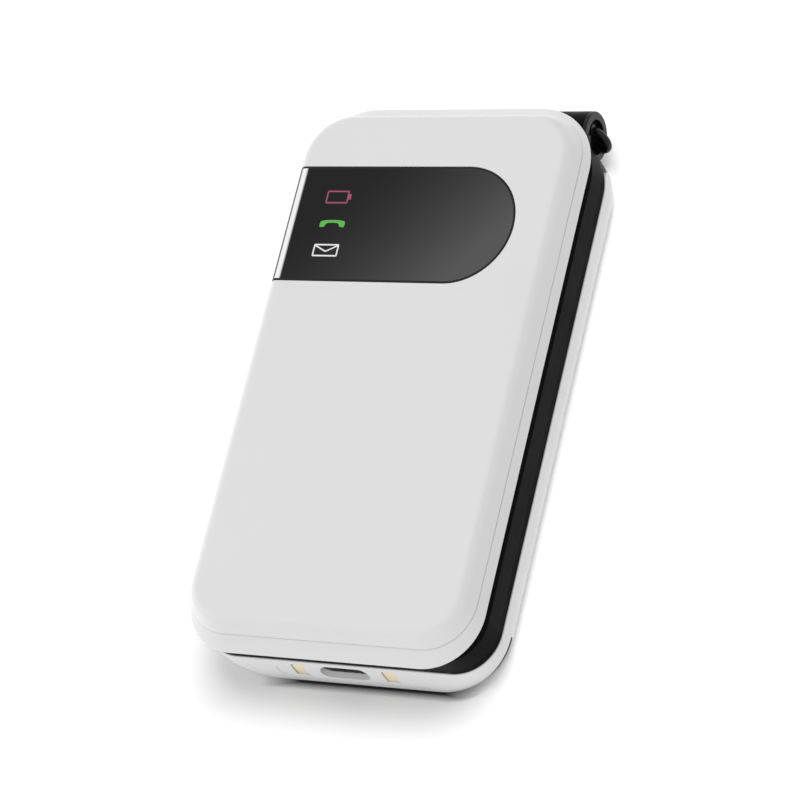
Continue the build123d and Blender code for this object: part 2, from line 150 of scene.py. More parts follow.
# ---- surfaces ---------------------------------------------------------------------------------
def corner_arcs(half, low, high, r_low, r_high, inset=0.0, parts=24):
    """The four corner arcs of a rounded rectangle, anticlockwise from the lower left one,
    each with parts + 1 points, the whole outline set in by inset."""
    half, low, high = half - inset, low + inset, high - inset
    r_low, r_high = r_low - inset, r_high - inset
    turn = np.linspace(0, np.pi / 2, parts + 1)
    corners = ((-half + r_low, low + r_low, r_low, np.pi),
               (half - r_low, low + r_low, r_low, 1.5 * np.pi),
               (half - r_high, high - r_high, r_high, 0.0),
               (-half + r_high, high - r_high, r_high, 0.5 * np.pi))
    return [np.column_stack([x + r * np.cos(start + turn), y + r * np.sin(start + turn)])
            for x, y, r, start in corners]


def joined(pieces, parts=12):
    """Point rows joined to one row by straight runs, each split into parts."""
    share = np.linspace(0, 1, parts + 1)[1:-1, None]
    row = [pieces[0]]
    for before, after in zip(pieces, pieces[1:]):
        row += [before[-1] * (1 - share) + after[0] * share, after]
    return np.vstack(row)


def ring(z, *sizes, inset=0.0):
    """Closed rounded rectangle at height z."""
    arcs = corner_arcs(*sizes, inset=inset)
    points = joined([*arcs, arcs[0][:1]])[:-1]
    return np.column_stack([points, np.full(len(points), z)])


def bend(a, b, c, parts=5):
    """Rows of a smooth bend from row a to row c that stays inside the corner row b."""
    return [(1 - s) ** 2 * a + 2 * s * (1 - s) * b + s ** 2 * c for s in np.linspace(0, 1, parts)]


def grid_faces(rows, columns, wrap_rows=False, wrap_columns=False, start=0):
    """Quads of a grid of points, closed round either way if asked."""
    i, j = np.meshgrid(np.arange(rows - (not wrap_rows)), np.arange(columns - (not wrap_columns)),
                       indexing="ij")
    i2, j2 = (i + 1) % rows, (j + 1) % columns
    corners = [i * columns + j, i * columns + j2, i2 * columns + j2, i2 * columns + j]
    return (np.stack(corners, -1).reshape(-1, 4) + start).tolist()


def add_piece(name, body, slot, points, faces, materials, replaces=(), bevel=0.0, weld=0.0):
    """New object from points in millimetres and faces, smooth-shaded, with outward normals.
    bevel rounds its sharp edges, and weld merges points that meet."""
    mesh = bpy.data.meshes.new(name)
    mesh.from_pydata((np.asarray(points) * MM).tolist(), [], faces)
    shape = bmesh.new()
    shape.from_mesh(mesh)
    if weld:
        bmesh.ops.remove_doubles(shape, verts=shape.verts, dist=weld * MM)
    bmesh.ops.recalc_face_normals(shape, faces=shape.faces)
    shape.to_mesh(mesh)
    shape.free()
    mesh.shade_smooth()
    mesh.set_sharp_from_angle(angle=SHARP)
    piece = bpy.data.objects.new(name, mesh)
    bpy.context.scene.collection.objects.link(piece)
    for material in materials:
        mesh.materials.append(material)
    if bevel:
        rounding = piece.modifiers.new("edges", "BEVEL")
        rounding.width, rounding.segments = bevel * MM, 3
        rounding.limit_method, rounding.angle_limit = "ANGLE", SHARP
        rounding.harden_normals = True
    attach(piece, body)
    if replaces:
        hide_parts(*replaces)
    return piece


def stroke(path, width, z, thickness=0.02, closed=False):
    """Flat band of the given width along a path: at each point the cross section is a
    rectangle square to the path's direction there.  Returns points and faces."""
    path = np.asarray(path, float)
    if closed:
        along = np.roll(path, -1, 0) - np.roll(path, 1, 0)
    else:
        along = np.gradient(path, axis=0)
    along /= np.linalg.norm(along, axis=1)[:, None]
    across = np.column_stack([-along[:, 1], along[:, 0]]) * width / 2
    sides = [(across, z), (across, z + thickness), (-across, z + thickness), (-across, z)]
    points = np.stack([np.column_stack([path + offset, np.full(len(path), height)])
                       for offset, height in sides], 1).reshape(-1, 3)
    faces = grid_faces(len(path), 4, wrap_rows=closed, wrap_columns=True)
    if not closed:
        last = 4 * (len(path) - 1)
        faces += [[0, 1, 2, 3], [last + 3, last + 2, last + 1, last]]
    return points, faces


def plate(outline, z, thickness=0.02):
    """Thin plate inside a closed outline.  Returns points and faces."""
    count = len(outline)
    points = np.vstack([np.column_stack([outline, np.full(count, height)])
                        for height in (z, z + thickness)])
    faces = grid_faces(2, count, wrap_columns=True)
    return points, faces + [list(range(count))[::-1], list(range(count, 2 * count))]


def smooth_path(corners, r, parts=6, closed=False):
    """Path through corners, each cut short by r on both sides and bent round."""
    corners = np.asarray(corners, float)
    count = len(corners)
    path = [] if closed else [corners[:1]]
    for i in range(0 if closed else 1, count if closed else count - 1):
        here, before, after = corners[i], corners[i - 1], corners[(i + 1) % count]
        start = here + (before - here) / np.linalg.norm(before - here) * r
        stop = here + (after - here) / np.linalg.norm(after - here) * r
        path.append(np.array(bend(start, here, stop, parts)))
    if not closed:
        path.append(corners[-1:])
    return np.vstack(path)


def merged(parts):
    """Several (points, faces) pairs as one."""
    points, faces, start = [], [], 0
    for p, f in parts:
        points.append(p)
        faces += [[i + start for i in face] for face in f]
        start += len(p)
    return np.vstack(points), faces


# ---- materials --------------------------------------------------------------------------------
NOISE_LOW, NOISE_HIGH = 0.35, 0.65      # nearly all of the noise's values lie between these


def add_node(tree, kind, values=None, links=None, **settings):
    """Adds one node.  values sets its input sockets, links joins them to other sockets."""
    node = tree.nodes.new(kind)
    for key, value in settings.items():
        setattr(node, key, value)
    for key, value in (values or {}).items():
        node.inputs[key].default_value = value
    for key, socket in (links or {}).items():
        tree.links.new(socket, node.inputs[key])
    return node


def calc(tree, operation, *terms, clamp=False):
    """Output of a Math node.  Each term is a number or a socket."""
    numbers = {i: term for i, term in enumerate(terms) if isinstance(term, float)}
    sockets = {i: term for i, term in enumerate(terms) if i not in numbers}
    return add_node(tree, "ShaderNodeMath", numbers, sockets, operation=operation,
                    use_clamp=clamp).outputs[0]


def ramp(tree, socket, start, stop, low=0.0, high=1.0):
    """Output of a Map Range node: low at start and high at stop, held beyond them."""
    return add_node(tree, "ShaderNodeMapRange",
                    {"From Min": start, "From Max": stop, "To Min": low, "To Max": high},
                    {"Value": socket}).outputs["Result"]


def mixed(tree, share, low, high):
    """Colour from low, which is a colour or a socket, to the colour high as share rises."""
    values, links = {7: high}, {0: share}
    (values if isinstance(low, tuple) else links)[6] = low
    return add_node(tree, "ShaderNodeMix", values, links, data_type="RGBA").outputs[2]


def object_axes(tree):
    """Sockets X, Y and Z of the object coordinates, in metres."""
    place = add_node(tree, "ShaderNodeTexCoord")
    return add_node(tree, "ShaderNodeSeparateXYZ",
                    links={"Vector": place.outputs["Object"]}).outputs


def new_material(name, base, roughness, **sockets):
    """Surface shader in a new material; returns the material, its tree and its shader."""
    material = bpy.data.materials.new(name)
    material.use_nodes = True
    tree = material.node_tree
    shader = tree.nodes["Principled BSDF"]
    shader.inputs["Base Color"].default_value = linear(base) if isinstance(base, str) else base
    shader.inputs["Roughness"].default_value = roughness
    for key, value in sockets.items():
        shader.inputs[key.replace("_", " ")].default_value = value
    return material, tree, shader


def object_noise(tree, size_mm, detail=2.0, stretch=(1, 1, 1)):
    """Noise on object coordinates whose blobs are about size_mm across."""
    place = add_node(tree, "ShaderNodeTexCoord")
    mapped = add_node(tree, "ShaderNodeMapping", {"Scale": stretch},
                      {"Vector": place.outputs["Object"]})
    return add_node(tree, "ShaderNodeTexNoise", {"Scale": 1 / (size_mm * MM), "Detail": detail},
                    {"Vector": mapped.outputs["Vector"]}).outputs["Fac"]


def grain(tree, shader, size_mm, depth_mm, stretch=(1, 1, 1)):
    """Fine surface texture as a bump."""
    bump = add_node(tree, "ShaderNodeBump", {"Distance": depth_mm * MM},
                    {"Height": object_noise(tree, size_mm, stretch=stretch)})
    tree.links.new(bump.outputs["Normal"], shader.inputs["Normal"])


def vary(tree, socket, size_mm, low, high):
    """Drives a socket between two values (numbers or colours) with noise."""
    noise = object_noise(tree, size_mm, detail=3.0)
    if isinstance(low, tuple):
        drive = mixed(tree, ramp(tree, noise, NOISE_LOW, NOISE_HIGH), low, high)
    else:
        drive = ramp(tree, noise, NOISE_LOW, NOISE_HIGH, low, high)
    tree.links.new(drive, socket)


def scaled(base, factor):
    """Linear colour times a factor."""
    return (*(np.array(base[:3]) * factor).tolist(), 1.0)


def uneven(name, base, rough, size_mm, low, high, **sockets):
    """Material whose roughness wanders between low and high in patches of size_mm."""
    material, tree, shader = new_material(name, base, rough, **sockets)
    vary(tree, shader.inputs["Roughness"], size_mm, low, high)
    return material


def cover_plastic(base):
    """White ABS, moulded in a polished tool and lacquered: even and milky, the lacquer's
    gloss wandering slightly as on a handled cover."""
    material, tree, shader = new_material("white_lacquered_abs", base, 0.32,
                                          Specular_IOR_Level=0.35, Coat_Weight=0.35,
                                          Coat_Roughness=0.12)
    vary(tree, shader.inputs["Roughness"], 9.0, 0.28, 0.36)
    vary(tree, shader.inputs["Base Color"], 22.0, scaled(base, 0.985), base)
    return material


def body_plastic(name, base, rough=0.42):
    """Black ABS with a fine satin spark finish."""
    material, tree, shader = new_material(name, base, rough, Specular_IOR_Level=0.05)
    vary(tree, shader.inputs["Roughness"], 5.0, rough - 0.04, rough + 0.05)
    grain(tree, shader, 0.12, 0.0016)
    return material


def frame_plastic(base):
    """Black ABS of the middle frame: the band along the white shell is left matt from the
    tool, so it shows darker than the satin face above it and the satin hinge end."""
    material = body_plastic("frame_abs", base)
    tree = material.node_tree
    axes = object_axes(tree)
    above = ramp(tree, axes["Z"], 0.0088, 0.0090)
    hinge_end = ramp(tree, axes["Y"], 0.0400, 0.0425)
    gloss = ramp(tree, calc(tree, "MAXIMUM", above, hinge_end), 0, 1, 0.012, 0.05)
    tree.links.new(gloss, tree.nodes["Principled BSDF"].inputs["Specular IOR Level"])
    return material


def cap_plastic_lightened():
    """Black nylon of the hinge caps, shinier than the frame; its colour is a little greyer than the
    frame's as painted light, which brightens the hinge end."""
    return uneven("cap_nylon", "#141414", 0.32, 1.2, 0.26, 0.38, Specular_IOR_Level=0.22)


def window_acrylic(dark, light):
    """Smoked acrylic under a polished face, dark at the wrapped end.  Towards the round end a
    painted reflection lightens its colour, as a gradient in object space.  Along the roll over the
    lid's edge a painted highlight shows as a silver metallic strip."""
    material, tree, shader = new_material("smoked_window", dark, 0.07, Specular_IOR_Level=0.19)
    axes = object_axes(tree)
    lean = calc(tree, "MULTIPLY_ADD", axes["Y"], -0.9, axes["X"])
    # painted reflection: the window's colour lightens towards the round end
    painted_sheen_share = calc(tree, "POWER", ramp(tree, lean, -0.048, -0.006), 2.0)
    # painted highlight: a silver metallic strip along the roll over the lid's edge
    inner = ramp(tree, axes["X"], -0.0239, -0.0243)
    outer = ramp(tree, axes["X"], -0.0253, -0.0251)
    painted_highlight = calc(tree, "MULTIPLY", inner, outer)
    tint = mixed(tree, painted_highlight, mixed(tree, painted_sheen_share, dark, light), linear("#F2F2F2"))
    tree.links.new(painted_highlight, shader.inputs["Metallic"])
    tree.links.new(tint, shader.inputs["Base Color"])
    return material


def brushed_metal(name, code, rough):
    """Drawn or plated metal with faint lengthwise lines."""
    material, tree, shader = new_material(name, code, rough, Metallic=1.0)
    vary(tree, shader.inputs["Roughness"], 1.5, rough - 0.05, rough + 0.07)
    grain(tree, shader, 0.15, 0.002, stretch=(0.1, 1, 1))
    return material


def display_glass():
    """Polished display cover: near-black with a slightly blue active area behind it, which
    reaches 21.3 mm to each side and 28.5 mm up and down from a middle at y -2 mm."""
    material, tree, shader = new_material("display_cover", "#07080A", 0.05)
    axes = object_axes(tree)
    along = calc(tree, "ADD", axes["Y"], 0.002)
    inside = [calc(tree, "LESS_THAN", calc(tree, "ABSOLUTE", socket), reach)
              for socket, reach in ((axes["X"], 0.0213), (along, 0.0285))]
    tint = mixed(tree, calc(tree, "MULTIPLY", *inside), linear("#07080A"), linear("#1C2026"))
    tree.links.new(tint, shader.inputs["Base Color"])
    return material


def printed_material(name, base):
    """Screen-printed ink: matt, slightly uneven in cover."""
    material, tree, shader = new_material(name, base, 0.5, Specular_IOR_Level=0.2)
    vary(tree, shader.inputs["Base Color"], 0.25, scaled(base, 0.9), base)
    return material


def board_material():
    """Green solder mask with fine copper tracks showing through as lighter lines."""
    material, tree, shader = new_material("solder_mask", "#0E4A2A", 0.35)
    place = add_node(tree, "ShaderNodeTexCoord")
    tracks = add_node(tree, "ShaderNodeTexBrick",
                      {"Scale": 260.0, "Mortar Size": 0.06, "Color1": linear("#0E4A2A"),
                       "Color2": linear("#0C4226"), "Mortar": linear("#2C7A4A")},
                      {"Vector": place.outputs["Object"]})
    tree.links.new(tracks.outputs["Color"], shader.inputs["Base Color"])
    return material


def soft_rubber():
    """Black rubber of the bumpers: matt, with a fine tooth."""
    material, tree, shader = new_material("soft_rubber", "#151515", 0.75, Specular_IOR_Level=0.2)
    grain(tree, shader, 0.2, 0.004)
    return material


def amber_film():
    """Polyimide film of the flexible cable: glossy amber with slightly darker patches."""
    material, tree, shader = new_material("amber_film", "#9A5A1C", 0.3)
    vary(tree, shader.inputs["Base Color"], 2.0, linear("#8C4F16"), linear("#A5641F"))
    return material


def finishes(colours):
    """One material for each slot of the record."""
    return {
        "white_cover": cover_plastic(colours.cover),
        "window": window_acrylic(colours.window_dark, colours.window_painted_sheen),
        "black_body": body_plastic("black_satin_abs", colours.body),
        "display_glass": display_glass(),
        "display_metal": brushed_metal("pressed_steel", "#A6A6A7", 0.3),
        "component": body_plastic("component_body", "#1A1A1A", 0.5),
        "circuit_board": board_material(),
        # frosted resin that lets the light through softly
        "lamp": uneven("clear_lamp", "#D8D8D0", 0.2, 0.6, 0.15, 0.28, Transmission_Weight=0.5),
        "steel": brushed_metal("plain_steel", "#9C9C9A", 0.34),
        "flex_film": amber_film(),
        "soft_rubber": soft_rubber(),
        # shrunk-on foil that shines in patches
        "battery_wrap": uneven("battery_wrap", "#202023", 0.4, 6.0, 0.34, 0.46),
        "chassis": body_plastic("glass_filled_plastic", "#161616", 0.55),
        "gold_contact": brushed_metal("gold_flash", "#F4E8CB", 0.5),
        "keycap": body_plastic("key_cap", "#121213", 0.38),
        "side_key": body_plastic("side_key", "#151516", 0.36),
    }


def finish(name):
    """Material by name, once the finishes are made."""
    return bpy.data.materials[name]


# ---- operators --------------------------------------------------------------------------------
class PHONE_OT_finishes(bpy.types.Operator):
    """Gives every solid the finish of its slot"""
    bl_idname = "phone.finishes"
    bl_label = "Finishes"

    def execute(self, context):
        colours = plain_colours(context.scene.phone_colours)
        by_slot = finishes(colours)
        for part in frame["record"]["subparts"]:
            mesh = NODES[part["node"]].data
            mesh.materials.clear()
            mesh.materials.append(by_slot[part["material_slot"]])
        NODES["base_frame"].data.materials[0] = frame_plastic(colours.body)
        # painted shade round the window: a near-black band in place of the groove's shade at the
        # window's edge, as glossy as the window over it
        uneven("window_print", "#0B0B0B", 0.07, 0.5, 0.06, 0.1, Specular_IOR_Level=0.3)
        cap = cap_plastic_lightened()
        for name in ("hinge_cap_left", "hinge_cap_right"):
            NODES[name].data.materials[0] = cap
        return {"FINISHED"}


class PHONE_OT_lid_rim(bpy.types.Operator):
    """White ring under the panel.  Its outer wall runs straight from the thumb lip's outline to
    the seam's outline, with both edges bent round"""
    bl_idname = "phone.lid_rim"
    bl_label = "Lid rim"

    def execute(self, context):
        s = in_mm(context.scene.phone_lid)
        lip, seam = outline(s, "rim"), outline(s, "seam")
        z0, z1, z2 = s.rim_z, s.rim_z + 0.22, s.seam_z - s.line
        low, high = ring(z1, *lip), ring(z2, *seam)
        rows = [ring(z0, *RIM_INNER), ring(z0, *lip, inset=0.42)]
        rows += bend(ring(z0, *lip, inset=0.3), ring(z0 + 0.03, *lip, inset=-0.06),
                     low * 0.9 + high * 0.1)
        rows += [low * 0.8 + high * 0.2, low * 0.2 + high * 0.8]
        rows += bend(low * 0.06 + high * 0.94, high, ring(z2, *seam, inset=0.14))
        rows += [ring(z2, *seam, inset=0.3), ring(z2, *RIM_INNER)]
        points = np.vstack(rows)
        faces = grid_faces(len(rows), len(rows[0]), wrap_rows=True, wrap_columns=True)
        add_piece("lid_rim_cover", "lid", "white_cover", points, faces,
                  [finish("white_lacquered_abs")], replaces=["lid_rim"])
        return {"FINISHED"}


def panel_profile(s, parts=14):
    """Inset and height of the panel's outer surface: up the drafted wall, then round the roll
    to the flat face."""
    draft = np.radians(32.9)
    base = s.seam_z + s.line
    full = (s.top_z - base) * np.tan(draft)
    turn = np.linspace(draft, np.pi / 2, parts + 1)
    flat = full + s.roll * np.tan((np.pi / 2 - draft) / 2)
    inset = flat - s.roll * np.cos(turn)
    height = s.top_z - s.roll + s.roll * np.sin(turn)
    wall = np.linspace(0, 1, 4)[:-1]
    return np.r_[wall * inset[0], inset], np.r_[base + wall * (height[0] - base), height]


class PHONE_OT_lid_panel(bpy.types.Operator):
    """White panel: a section swept from the window's lower side round the free end, the right
    side and the hinge end to the window's upper side.  The section climbs the wall, rolls over,
    runs flat to the window's edge and returns under the face"""
    bl_idname = "phone.lid_panel"
    bl_label = "Lid panel"

    def execute(self, context):
        s = in_mm(context.scene.phone_lid)
        seam = outline(s, "seam")
        gap = s.window_r + s.line
        y_low, y_high = s.window_y - gap, s.window_y + gap

        def path(z, sizes, inset=0.0):
            arcs = corner_arcs(*sizes, inset=inset)
            left = -sizes[0] + inset
            points = joined([np.array([[left, y_low]]), *arcs, np.array([[left, y_high]])])
            return np.column_stack([points, np.full(len(points), z)])

        insets, heights = panel_profile(s)
        rows = [path(z, seam, inset) for inset, z in zip(insets, heights)]
        rows.append(path(s.top_z, seam, insets[-1] + 0.25))
        count = len(rows[0])

        # where each section meets the window's edge: lower side, round end, upper side
        start_x = -s.seam_half + insets[-1] + 0.6
        run = s.window_x - start_x
        stops = np.array([0, run, run + np.pi * gap, 2 * run + np.pi * gap])
        place = np.interp(np.arange(count), [0, 0.3 * count, 0.68 * count, count - 1], stops)
        turn = np.clip((place - stops[1]) / gap, 0, np.pi) - np.pi / 2
        x = s.window_x + gap * np.cos(turn)
        x = np.where(place < stops[1], start_x + place, x)
        x = np.where(place > stops[2], s.window_x - (place - stops[2]), x)
        y = s.window_y + gap * np.sin(turn)
        inner = path(s.top_z - PANEL_T, PANEL_INNER)
        rows += [np.column_stack([x, y, np.full(count, z)]) for z in (s.top_z, s.top_z - PANEL_T)]
        rows += [inner, inner + [0, 0, heights[0] - inner[0, 2]]]
        sweep = np.vstack(rows)
        faces = grid_faces(len(rows), count, wrap_rows=True)
        start_cap = [i * count for i in range(len(rows))]
        faces += [start_cap, [i + count - 1 for i in reversed(start_cap)]]

        # the bed under the window
        turn = np.linspace(-np.pi / 2, np.pi / 2, 40)
        edge = np.column_stack([s.window_x + gap * np.cos(turn), s.window_y + gap * np.sin(turn)])
        edge = np.vstack([[[start_x, y_low]], edge, [[start_x, y_high]]])
        levels = (s.top_z - PANEL_T, s.top_z - s.window_t - s.line)
        bed = np.vstack([np.column_stack([edge, np.full(len(edge), z)]) for z in levels])
        sides = grid_faces(2, len(edge), wrap_columns=True)
        sides += [list(range(len(edge))), list(range(2 * len(edge) - 1, len(edge) - 1, -1))]
        points, faces = merged([(sweep, faces), (bed, sides)])
        add_piece("lid_panel_cover", "lid", "white_cover", points, faces,
                  [finish("white_lacquered_abs")], replaces=["lid_panel"], bevel=0.07)
        return {"FINISHED"}


class PHONE_OT_lid_window(bpy.types.Operator):
    """Smoked window: rows run along its edge, in from the wrapped end and round the free end,
    and step inwards to the centre line.  Its height follows the panel's wall and roll"""
    bl_idname = "phone.lid_window"
    bl_label = "Lid window"

    def execute(self, context):
        s = in_mm(context.scene.phone_lid)
        insets, heights = panel_profile(s)
        flat_x = -s.seam_half + insets[-1]
        run = np.r_[-s.seam_half + insets, np.linspace(flat_x, s.window_x, 25)[1:]]
        turn = np.linspace(-np.pi / 2, np.pi / 2, 61)
        offsets = np.r_[0, s.border, np.linspace(s.border, s.window_r, 10)[1:]]
        top = []
        for offset in offsets:
            r = s.window_r - offset
            x = np.r_[run, s.window_x + r * np.cos(turn[1:-1]), run[::-1]]
            y = np.r_[np.full(len(run), s.window_y - r), s.window_y + r * np.sin(turn[1:-1]),
                      np.full(len(run), s.window_y + r)]
            z = np.interp(x, np.r_[-s.seam_half + insets, s.seam_half], np.r_[heights, s.top_z])
            top.append(np.column_stack([x, y, z]))
        under = [row.copy() for row in top]
        for row in under:
            row[:, 2] = np.maximum(row[:, 2] - s.window_t, heights[0])
        count = len(top[0])
        points = np.vstack(under[::-1] + top)
        faces = grid_faces(2 * len(offsets), count)
        piece = add_piece("window_cover", "lid", "window", points, faces,
                          [finish("smoked_window"), finish("window_print")],
                          replaces=["lid_window"], bevel=0.06, weld=0.002)
        mesh = piece.data
        centres = np.empty(3 * len(mesh.polygons))
        mesh.polygons.foreach_get("center", centres)
        x, y, z = (centres / MM).reshape(-1, 3).T
        reach = np.where(x > s.window_x, np.hypot(x - s.window_x, y - s.window_y),
                         np.abs(y - s.window_y))
        # faces near the window's edge get the painted shade band
        printed = reach > s.window_r - s.border
        mesh.polygons.foreach_set("material_index", printed.astype(np.int32))
        return {"FINISHED"}


class PHONE_OT_pictograms(bpy.types.Operator):
    """Battery, handset and envelope on the window, drawn as flat bands along paths"""
    bl_idname = "phone.pictograms"
    bl_label = "Pictograms"

    def execute(self, context):
        s = in_mm(context.scene.phone_lid)
        z, x = s.top_z + 0.002, s.icon_x
        case = [(x - 2.4, 29.34), (x + 1.76, 29.34), (x + 1.7, 31.52), (x - 2.42, 31.52)]
        tip = [(x + 1.66, 29.9), (x + 2.42, 29.98), (x + 2.36, 31.0), (x + 1.6, 31.04)]
        battery = [stroke(smooth_path(case, 0.12, closed=True), 0.29, z, closed=True),
                   plate(smooth_path(tip, 0.08, closed=True), z + 0.004)]
        half = [(0, 25.5), (-1.05, 25.42), (-1.32, 25.14), (-1.5, 24.72), (-2.4, 24.62),
                (-2.5, 25.4), (-2.28, 25.8), (-1.45, 25.97), (0, 26.02)]
        arch = np.array(half + [(-u, v) for u, v in half[-2:0:-1]]) + [x - 0.03, 0]
        handset = [plate(smooth_path(arch, 0.1, closed=True), z)]
        body = [(x - 2.37, 19.19), (x + 2.32, 19.19), (x + 2.32, 21.27), (x - 2.38, 21.27)]
        flap = [(x - 2.3, 21.15), (x, 20.0), (x + 2.25, 21.15)]
        envelope = [stroke(smooth_path(body, 0.1, closed=True), 0.28, z, closed=True),
                    stroke(smooth_path(flap, 0.2), 0.25, z + 0.004)]
        colours = plain_colours(context.scene.phone_colours)
        for name, parts, base in (("battery_sign", battery, colours.battery),
                                  ("call_sign", handset, colours.call),
                                  ("message_sign", envelope, colours.message)):
            add_piece(name, "lid", "lamp", *merged(parts), [printed_material(name, base)])
        return {"FINISHED"}


def key_centre(name):
    """X, Y and top height of a key in millimetres."""
    low, high = np.array(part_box(name)) / MM
    return (low[0] + high[0]) / 2, (low[1] + high[1]) / 2, high[2]


class PHONE_OT_legends(bpy.types.Operator):
    """Printed digits and signs of the keys, each riding on its key"""
    bl_idname = "phone.legends"
    bl_label = "Key legends"

    def execute(self, context):
        ink = printed_material("legend_ink", linear("#D9DADC"))
        green = printed_material("green_ink", linear("#3FA34B"))
        red = printed_material("red_ink", linear("#C4362E"))
        signs = {"star": "*", "hash": "#"}
        for key in [*"1234567890", "star", "hash"]:
            self.digit(f"key_{key}", signs.get(key, key), ink)
        dash = [(-2.0, 0), (0, 0), (2.0, 0)]
        for key, corners in (("up", [(-1.6, -0.8), (0, 0.8), (1.6, -0.8)]),
                             ("down", [(-1.6, 0.8), (0, -0.8), (1.6, 0.8)]),
                             ("soft_left", dash), ("soft_right", dash)):
            self.band(f"key_{key}", [stroke(smooth_path(corners, 0.2), 0.55, 0)], ink)
        turn = np.linspace(0, 2 * np.pi, 33)[:-1]
        dot = np.column_stack([np.cos(turn), np.sin(turn)]) * 1.6
        self.band("key_select", [stroke(dot, 0.5, 0, closed=True)], ink)
        turn = np.radians(np.linspace(150, 30, 21))
        arch = np.column_stack([3.0 * np.cos(turn), 2.4 * np.sin(turn) - 1.6])
        ends = [smooth_path([(k * 2.9, -0.1), (k * 2.5, -1.1), (k * 1.6, -0.7)], 0.3)
                for k in (-1, 1)]
        handset = [stroke(arch, 0.7, 0)] + [stroke(end, 0.7, 0.004) for end in ends]
        self.band("key_end", handset, red)
        raised = []
        for points, faces in handset:
            turned = points.copy()
            turned[:, 0], turned[:, 1] = -points[:, 1] - 0.6, points[:, 0]
            raised.append((turned, faces))
        self.band("key_call", raised, green)
        return {"FINISHED"}

    def band(self, key, parts, material):
        """Flat bands on a key's top."""
        x, y, top = key_centre(key)
        points, faces = merged(parts)
        add_piece(f"{key}_legend", key, "keycap", points + [x, y, top + 0.002], faces, [material])

    def digit(self, key, text, material):
        """One character as a thin mesh on a key's top."""
        x, y, top = key_centre(key)
        curve = bpy.data.curves.new(f"{key}_text", "FONT")
        curve.body, curve.size, curve.extrude = text, 5.6 * MM, 0.01 * MM
        curve.align_x = "CENTER"
        holder = bpy.data.objects.new(f"{key}_text", curve)
        mesh = bpy.data.meshes.new_from_object(holder)
        bpy.data.objects.remove(holder)
        points = np.empty(3 * len(mesh.vertices))
        mesh.vertices.foreach_get("co", points)
        points = points.reshape(-1, 3) / MM
        middle = (points[:, 1].min() + points[:, 1].max()) / 2
        points += [x, y - middle, top + 0.012]
        faces = [list(face.vertices) for face in mesh.polygons]
        bpy.data.meshes.remove(mesh)
        add_piece(f"{key}_legend", key, "keycap", points, faces, [material])


def look_along(direction):
    """Rotation matrix whose -Z axis points along direction."""
    back = -direction / np.linalg.norm(direction)
    right = np.cross((0, 0, 1), back)
    right /= np.linalg.norm(right)
    return Matrix(np.column_stack([right, np.cross(back, right), back]).tolist())


def seen_or(tree, plain, seen, rays):
    """Value that is `seen` for the named kinds of ray and `plain` for all others."""
    path = add_node(tree, "ShaderNodeLightPath")
    total = path.outputs[rays[0]]
    for ray in rays[1:]:
        total = calc(tree, "MAXIMUM", total, path.outputs[ray])
    return ramp(tree, total, 0, 1, plain, seen)


# place and width in metres, power in watts, and whether the lamp lights the floor and nothing
# else (True) or everything but the floor (False)
LAMPS = {
    "back_softbox": ((-0.1, 1.0, 0.7), 0.9, 3.9, False),
    "top_softbox": ((0.0, 0.0, 1.3), 1.2, 2.4, False),
    "left_softbox": ((-1.2, 0.15, 0.25), 0.8, 9.0, False),
    "right_softbox": ((1.0, 0.1, 0.5), 0.9, 0.9, False),
    "front_softbox": ((0.0, -1.0, 0.65), 0.9, 5.1, False),
    "floor_softbox": ((0.35, 0.45, 1.2), 0.9, 12.5, True),
}
SKY = 0.5       # strength at which the white world lights things, while the camera sees 1

# lens and sensor in mm, place in metres, and the camera's right, up and back axes
LENS, SENSOR = 151.25, 36.0
STAND = (0.276685, -0.195359, 0.466003)
AXES = ((0.87236, 0.22613, -0.43341), (-0.03531, 0.91341, 0.40551), (0.48758, -0.33845, 0.80481))


